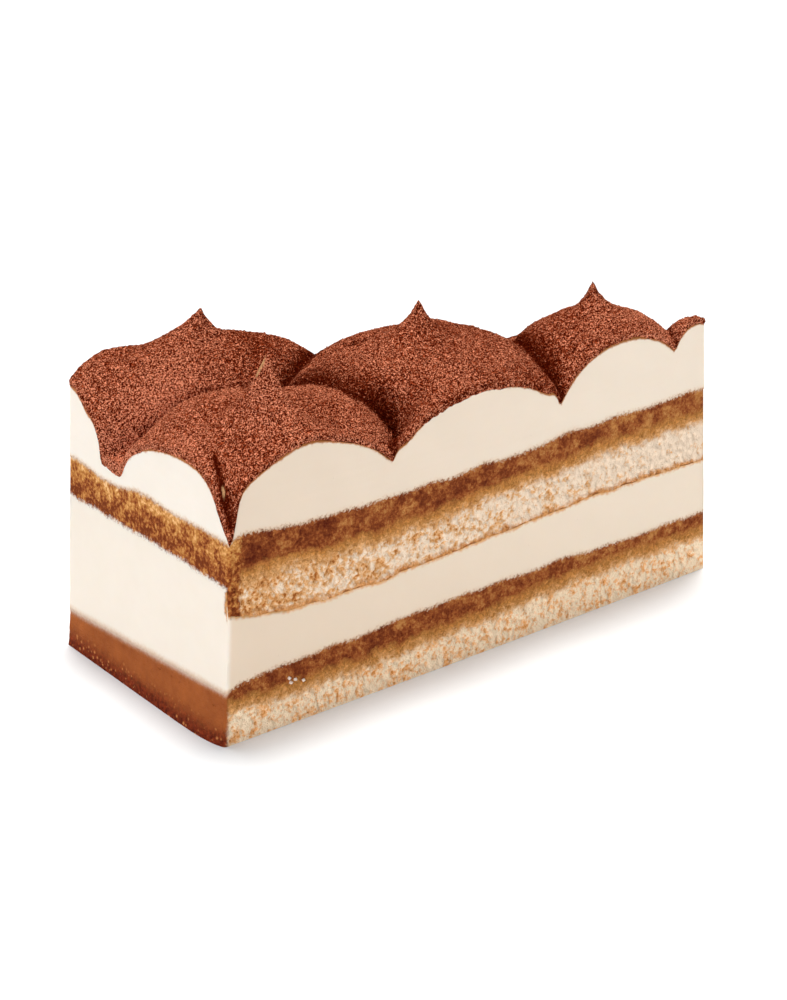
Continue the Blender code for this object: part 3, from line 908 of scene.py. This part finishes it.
def sugar_material():
    material, tree, shader = new_material("sugar")
    clear = blend_colours(tree, grain(tree, 2500.0, 1.5), (0.6, 0.42, 0.3), (0.95, 0.86, 0.78))
    finish_surface(tree, shader, clear, 0.25, 0.5)
    return material


def floor_material(look):
    material, tree, shader = new_material("floor")
    finish_surface(tree, shader, (*look.floor, 1), 0.9, 0.0)
    return material


# ---------------------------------------------------------------- operators, one for each piece

class PieceOperator:
    """Reads the panel's settings and then builds one piece."""
    bl_options = {"REGISTER", "UNDO"}

    def execute(self, context):
        self.shape = context.scene.slice_shape
        self.detail = context.scene.slice_detail
        self.colours = context.scene.slice_colours
        self.cake = Slice(self.shape)
        noise.seed_set(self.detail.seed)
        self.build()
        return {"FINISHED"}

    def sponge_marks(self, underside, soaking, top):
        """A relief function for sponge between its underside and top, soaked from a surface up."""
        def relief(x, y, z, values):
            soak, over = z - soaking(x, y), z - top(x, y)
            end = x - self.cake.left_end(y, z)
            smooth = 1 - smooth_step(0.2, 1.0, end)
            out, pit = crumb_relief(x, y, z, max(smooth_step(-0.8, 1.2, soak), smooth))
            values.update(soak=soak, over=over, crust=z - underside(x, y), end=end, pit=pit,
                          front=smooth_step(0.9, 0.3, y))
            near = math.hypot(self.cake.right_end(z) - x, y)
            flat = smooth_step(0.0, -0.5, over) * smooth_step(-0.2, 0.8, z)
            if end < 0.3 and y > 0.5 and soaking(x, y) > 20:
                out = 0.1 + max(out, 0.0)
            return (out - 0.05) * flat * smooth_step(0, 1.5, near)
        return relief

    def cream_marks(self, bottom, top):
        """A relief function for cream between two surfaces."""
        def relief(x, y, z, values):
            end = x - self.cake.left_end(y, z)
            above, below = z - bottom(x, y), top(x, y) - z
            corner = smooth_step(1.5, 0.6, end + y)
            rust = corner * smooth_step(-1.0, 0.8, z - self.cake.middle_cream_top(x, y))
            values.update(above=above, below=below, end=end, rust=rust)
            return cream_relief(x, y, z) * smooth_step(0.0, 1.0, min(above, below))
        return relief

    def add_sponge(self, name, slot, node, look, levels, bottom, top, inset=0.0):
        """A layer from bottom to top of a sponge with its underside, soaked border and top."""
        block = wall(self.cake, bottom, top, self.detail.crumb_step, self.sponge_marks(*levels),
                     SPONGE_MARKS, inset=inset, radius=0.4)
        add_piece(block, name, soaked_sponge_material(self.colours, name, look), slot, node)


class CAKE_OT_lower_sponge(PieceOperator, bpy.types.Operator):
    """Pale sponge at the base, soaked at its left end"""
    bl_idname = "cake.lower_sponge"
    bl_label = "Lower sponge"

    def build(self):
        levels = self.cake.lower_levels
        self.add_sponge("lower_sponge_crumb", "sponge", "lower_sponge", LOWER_LOOK, levels,
                        levels[0], levels[1])


class CAKE_OT_lower_coffee(PieceOperator, bpy.types.Operator):
    """Coffee-soaked top of the lower sponge"""
    bl_idname = "cake.lower_coffee"
    bl_label = "Lower coffee layer"

    def build(self):
        levels = self.cake.lower_levels
        self.add_sponge("lower_coffee_crumb", "coffee_sponge", "lower_coffee_layer", LOWER_LOOK,
                        levels, levels[1], levels[2])


class CAKE_OT_middle_cream(PieceOperator, bpy.types.Operator):
    """Cream between the sponges, with the lip that covers the upper sponge's left end"""
    bl_idname = "cake.middle_cream"
    bl_label = "Middle cream"

    def build(self):
        cake, lip = self.cake, self.shape.end_lip

        def top(x, y):
            if LIP_MARGIN < y < WIDTH - LIP_MARGIN and x < lip + cake.left_end(y, 25.0):
                return cake.upper_sponge_top(x, y)
            return cake.middle_cream_top(x, y)

        block = wall(cake, cake.lower_coffee_top, top, self.detail.cream_step,
                     self.cream_marks(cake.lower_coffee_top, top), CREAM_MARKS, radius=0.3)
        roof = scaled(self.colours.crust, 1.3, 1.6, 2.2)
        material = cream_material(self.colours, "middle cream", (1.0, 0.975, 0.94), roof, 0.3,
                                  LOWER_END_SOFTNESS)
        add_piece(block, "middle_cream_body", material, "cream", "middle_cream")


class CAKE_OT_upper_sponge(PieceOperator, bpy.types.Operator):
    """Pale sponge over the middle cream, with its browned underside"""
    bl_idname = "cake.upper_sponge"
    bl_label = "Upper sponge"

    def build(self):
        levels = self.cake.upper_levels
        self.add_sponge("upper_sponge_crumb", "sponge", "upper_sponge", UPPER_LOOK, levels,
                        levels[0], levels[1], inset=self.shape.end_lip)


class CAKE_OT_upper_coffee(PieceOperator, bpy.types.Operator):
    """Coffee-soaked top of the upper sponge"""
    bl_idname = "cake.upper_coffee"
    bl_label = "Upper coffee layer"

    def build(self):
        cake, levels = self.cake, self.cake.upper_levels

        def bottom(x, y):
            """A little lower at the left end, where its ragged border hangs over the cream."""
            near_end = smooth_step(1.0, 0.3, x - cake.left_end(y, 28.0)) * smooth_step(0.2, 0.6, y)
            return cake.upper_sponge_top(x, y) - 0.6 * near_end

        self.add_sponge("upper_coffee_crumb", "coffee_sponge", "upper_coffee_layer", UPPER_LOOK,
                        levels, bottom, levels[2])


class CAKE_OT_top_cream(PieceOperator, bpy.types.Operator):
    """Piped cream, cut flat on every side"""
    bl_idname = "cake.top_cream"
    bl_label = "Top cream"

    def build(self):
        cake, step = self.cake, self.detail.cream_step
        block, share_x, share_y, x, y, z = top_grid(cake, step, -CREAM_BED)
        blank = dict.fromkeys(CREAM_MARKS, np.zeros_like(z))
        layers = shape_grid(block, x, y, z, share_x=share_x, share_y=share_y, top=z, **blank)

        def hang(vertex, share):
            a, b, top = (vertex[layers[name]] for name in ("share_x", "share_y", "top"))
            low = SLAB_TOP - 2
            for _ in range(3):
                low = cake.upper_coffee_top(*cake.place(a, b, low))
            height = top + (low - top) * share
            px, py = cake.place(a, b, height)
            vertex[layers["above"]] = height - low
            vertex[layers["below"]] = top + CREAM_BED - height
            vertex[layers["end"]] = px - cake.left_end(py, height)
            out = cream_relief(px, py, height) * math.sin(math.pi * share)
            vertex.co = move_out(a, b, px, py, height, out)

        rows = round((z.max() - SLAB_TOP) / step)
        rim = hang_sides(block, [row / rows for row in range(1, rows + 1)], hang)
        close_fan(block, rim, cake.upper_coffee_top(LENGTH / 2, WIDTH / 2))
        bmesh.ops.recalc_face_normals(block, faces=block.faces[:])
        roof = scaled(self.colours.crust, 0.9, 0.8, 0.8)
        material = cream_material(self.colours, "top cream", (1.02, 1.01, 1.0), roof, 0.45,
                                  UPPER_END_SOFTNESS)
        add_piece(block, "top_cream_kisses", material, "cream", "top_cream")


class CAKE_OT_cocoa(PieceOperator, bpy.types.Operator):
    """Cocoa coat over the kisses, with a grainy rim that spills over the cut sides"""
    bl_idname = "cake.cocoa"
    bl_label = "Cocoa coat"

    def build(self):
        cake, thick = self.cake, self.shape.cocoa
        block, share_x, share_y, x, y, z = top_grid(cake, self.detail.cocoa_step, 0.0)
        lean_x, lean_y = tip_bend(x, y, z)
        edge = np.minimum(np.minimum(share_x, 1 - share_x) * LENGTH,
                          np.minimum(share_y, 1 - share_y) * WIDTH)
        ridge = 0.3 * np.exp(-(edge / 0.7) ** 2)
        bare = sum(line_field(x, y, line) for line in BARE_LINES)
        # Patches of lighter and darker cocoa: partly real, partly painted light on lit slopes and
        # painted shade
        tone = sum(mound_field(x, y, Mound(along, across, reach, reach, lighter))
                   for along, across, reach, lighter in TONE_AND_LIGHT_PATCHES)
        z = z - DIMPLE_DEPTH * line_field(x, y, DIMPLE)
        relief = np.array([cocoa_relief(*spot, 0.12) for spot in zip(x, y, z)])
        top = z + thick + ridge + relief
        # Marks for the cocoa material: painted shade in the creases, cream lines, and lightness that
        # is partly painted light and shade
        layers = shape_grid(block, x + lean_x, y + lean_y, top, share_x=share_x, share_y=share_y,
                            top=top, crease=shade_field(x, y), bare=bare, tone=tone)

        def hang(vertex, share):
            a, b, top = (vertex[layers[name]] for name in ("share_x", "share_y", "top"))
            px, py = cake.place(a, b, top)
            deep = thick + 0.45 + spill(a, px, py)
            deep += 0.2 * noise.noise(Vector((px, py, 3.3)) / 0.7)
            deep += 0.25 * noise.noise(Vector((px, py, 9.1)) / 2.5)
            height = top - deep * share
            px, py = cake.place(a, b, height)
            grit = 0.1 * noise.noise(Vector((px, py, height)) / 0.5)
            vertex.co = move_out(a, b, px, py, height,
                                 0.14 * math.sin(math.pi * share) + grit + 0.02)

        rim = hang_sides(block, (0.3, 0.6, 0.85, 1.0), hang)
        self.close_underside(block, rim)
        add_piece(block, "cocoa_dusting", cocoa_material(self.colours), "cocoa", "cocoa_coat")

    def close_underside(self, block, rim):
        """A coarse copy of the top just inside the cream closes the coat from below."""
        before = set(block.verts)
        bmesh.ops.create_grid(block, x_segments=60, y_segments=26, size=0.5)
        inner = [v for v in block.verts if v not in before]
        share_x, share_y = grid_shares(inner)
        x, y, z = top_points(self.cake, 0.01 + 0.98 * share_x, 0.02 + 0.96 * share_y, -0.6)
        for i, vertex in enumerate(inner):
            vertex.co = to_part(x[i], y[i], z[i])
        kept = set(inner)
        loop = [e for e in block.edges if e.is_boundary and e.verts[0] in kept]
        bmesh.ops.bridge_loops(block, edges=rim + loop)
        bmesh.ops.recalc_face_normals(block, faces=block.faces[:])


class CAKE_OT_cocoa_grains(PieceOperator, bpy.types.Operator):
    """Loose grains of cocoa on the coat"""
    bl_idname = "cake.cocoa_grains"
    bl_label = "Cocoa grains"

    def build(self):
        count = self.detail.grains
        draw = random.Random(self.detail.seed)
        shares = np.array([(draw.random(), draw.random()) for _ in range(count)])
        x, y, z = top_points(self.cake, shares[:, 0] * 0.99 + 0.005, shares[:, 1] * 0.98 + 0.01)
        block = bmesh.new()
        for i in range(count):
            size = 0.08 + 0.12 * draw.random() ** 2
            height = z[i] + self.shape.cocoa + cocoa_relief(x[i], y[i], z[i])
            turn = Euler([6.28 * draw.random() for _ in range(3)]).to_matrix().to_4x4()
            sizes = [size * (0.7 + 0.6 * draw.random()) * MM for _ in range(3)]
            place = Matrix.Translation(to_part(x[i], y[i], height)) @ turn
            bmesh.ops.create_icosphere(block, subdivisions=1, radius=1.0,
                                       matrix=place @ Matrix.Diagonal([*sizes, 1]))
        # Blank marks: the loose grains get no painted shade and no change of lightness
        for mark in ("crease", "bare", "tone"):
            block.verts.layers.float.new(mark)
        add_piece(block, "cocoa_grains", cocoa_material(self.colours), "cocoa")


class CAKE_OT_sugar(PieceOperator, bpy.types.Operator):
    """A few crystals of sugar in the lower coffee layer"""
    bl_idname = "cake.sugar"
    bl_label = "Sugar crystals"

    def build(self):
        block = bmesh.new()
        for x, z, turn in CRYSTALS:
            turned = Euler((turn, 0.4, turn)).to_matrix().to_4x4()
            made = bmesh.ops.create_cube(block, size=CRYSTAL_SIZE * MM,
                                         matrix=Matrix.Translation(to_part(x, -0.05, z)) @ turned)
            edges = list({e for v in made["verts"] for e in v.link_edges})
            bmesh.ops.bevel(block, geom=edges, offset=0.08 * MM, segments=2, profile=0.5,
                            affect="EDGES", material=-1)
        add_piece(block, "sugar_crystals", sugar_material(), "coffee_sponge")


class CAKE_OT_stage(bpy.types.Operator):
    """Floor, soft light and camera"""
    bl_idname = "cake.stage"
    bl_label = "Stage"

    def execute(self, context):
        look = context.scene.stage_look
        block = bmesh.new()
        bmesh.ops.create_grid(block, x_segments=1, y_segments=1, size=3.0)
        floor = mesh_object(block, "floor", floor_material(look))
        world = bpy.data.worlds.new("studio")
        world.use_nodes = True
        sky = world.node_tree.nodes["Background"]
        sky.inputs["Color"].default_value = (1.0, 0.985, 0.97, 1)
        sky.inputs["Strength"].default_value = look.sky
        context.scene.world = world
        self.soft_light("key", look.key, 30, (-0.8, -0.4, 0.16), (0.96, 0.985, 1.03))
        self.soft_light("top", look.top, 22, (0.14, 0.14, 1.0), (1.0, 0.945, 0.87))
        self.camera(context)
        context.scene.view_settings.view_transform = "Standard"
        return {"FINISHED"}

    def soft_light(self, name, strength, softness, direction, colour):
        """An even light from a direction, as wide as softness in degrees."""
        light = bpy.data.lights.new(name, "SUN")
        light.energy = strength
        light.angle = math.radians(softness)
        light.color = colour
        lamp = bpy.data.objects.new(name, light)
        lamp.rotation_euler = Vector(direction).to_track_quat("Z", "Y").to_euler()
        bpy.context.scene.collection.objects.link(lamp)

    def camera(self, context):
        """Looks along the slice from its front left corner, as in the photograph."""
        lens = bpy.data.cameras.new("view")
        lens.lens = LENS
        lens.clip_start = 0.01
        eye = bpy.data.objects.new("view", lens)
        eye.location = to_part(*CAMERA_PLACE)
        eye.rotation_euler = (math.radians(90 - CAMERA_DOWN), 0, math.radians(-CAMERA_TURN))
        context.scene.collection.objects.link(eye)
        context.scene.camera = eye


class CAKE_PT_panel(bpy.types.Panel):
    """Lists the slice's pieces in the sidebar"""
    bl_label = "Cake slice"
    bl_idname = "CAKE_PT_panel"
    bl_space_type = "VIEW_3D"
    bl_region_type = "UI"
    bl_category = "Cake slice"

    def draw(self, context):
        for operator in PIECES:
            self.layout.operator(operator.bl_idname)
        for settings in ("slice_shape", "slice_detail", "slice_colours", "stage_look"):
            group = getattr(context.scene, settings)
            for name in group.__annotations__:
                self.layout.prop(group, name)


PIECES = (CAKE_OT_lower_sponge, CAKE_OT_lower_coffee, CAKE_OT_middle_cream, CAKE_OT_upper_sponge,
          CAKE_OT_upper_coffee, CAKE_OT_top_cream, CAKE_OT_cocoa, CAKE_OT_cocoa_grains,
          CAKE_OT_sugar, CAKE_OT_stage)
SETTINGS = {"slice_shape": SliceShape, "slice_detail": SliceDetail,
            "slice_colours": SliceColours, "stage_look": StageLook}


def register():
    for kind in (*SETTINGS.values(), *PIECES, CAKE_PT_panel):
        bpy.utils.register_class(kind)
    for name, kind in SETTINGS.items():
        setattr(bpy.types.Scene, name, bpy.props.PointerProperty(type=kind))


def unregister():
    for name in SETTINGS:
        delattr(bpy.types.Scene, name)
    for kind in (CAKE_PT_panel, *reversed(PIECES), *reversed(list(SETTINGS.values()))):
        bpy.utils.unregister_class(kind)


def main():
    register()
    bpy.ops.cake.lower_sponge()
    bpy.ops.cake.lower_coffee()
    bpy.ops.cake.middle_cream()
    bpy.ops.cake.upper_sponge()
    bpy.ops.cake.upper_coffee()
    bpy.ops.cake.top_cream()
    bpy.ops.cake.cocoa()
    bpy.ops.cake.cocoa_grains()
    bpy.ops.cake.sugar()
    bpy.ops.cake.stage()


if __name__ == "__main__":
    main()
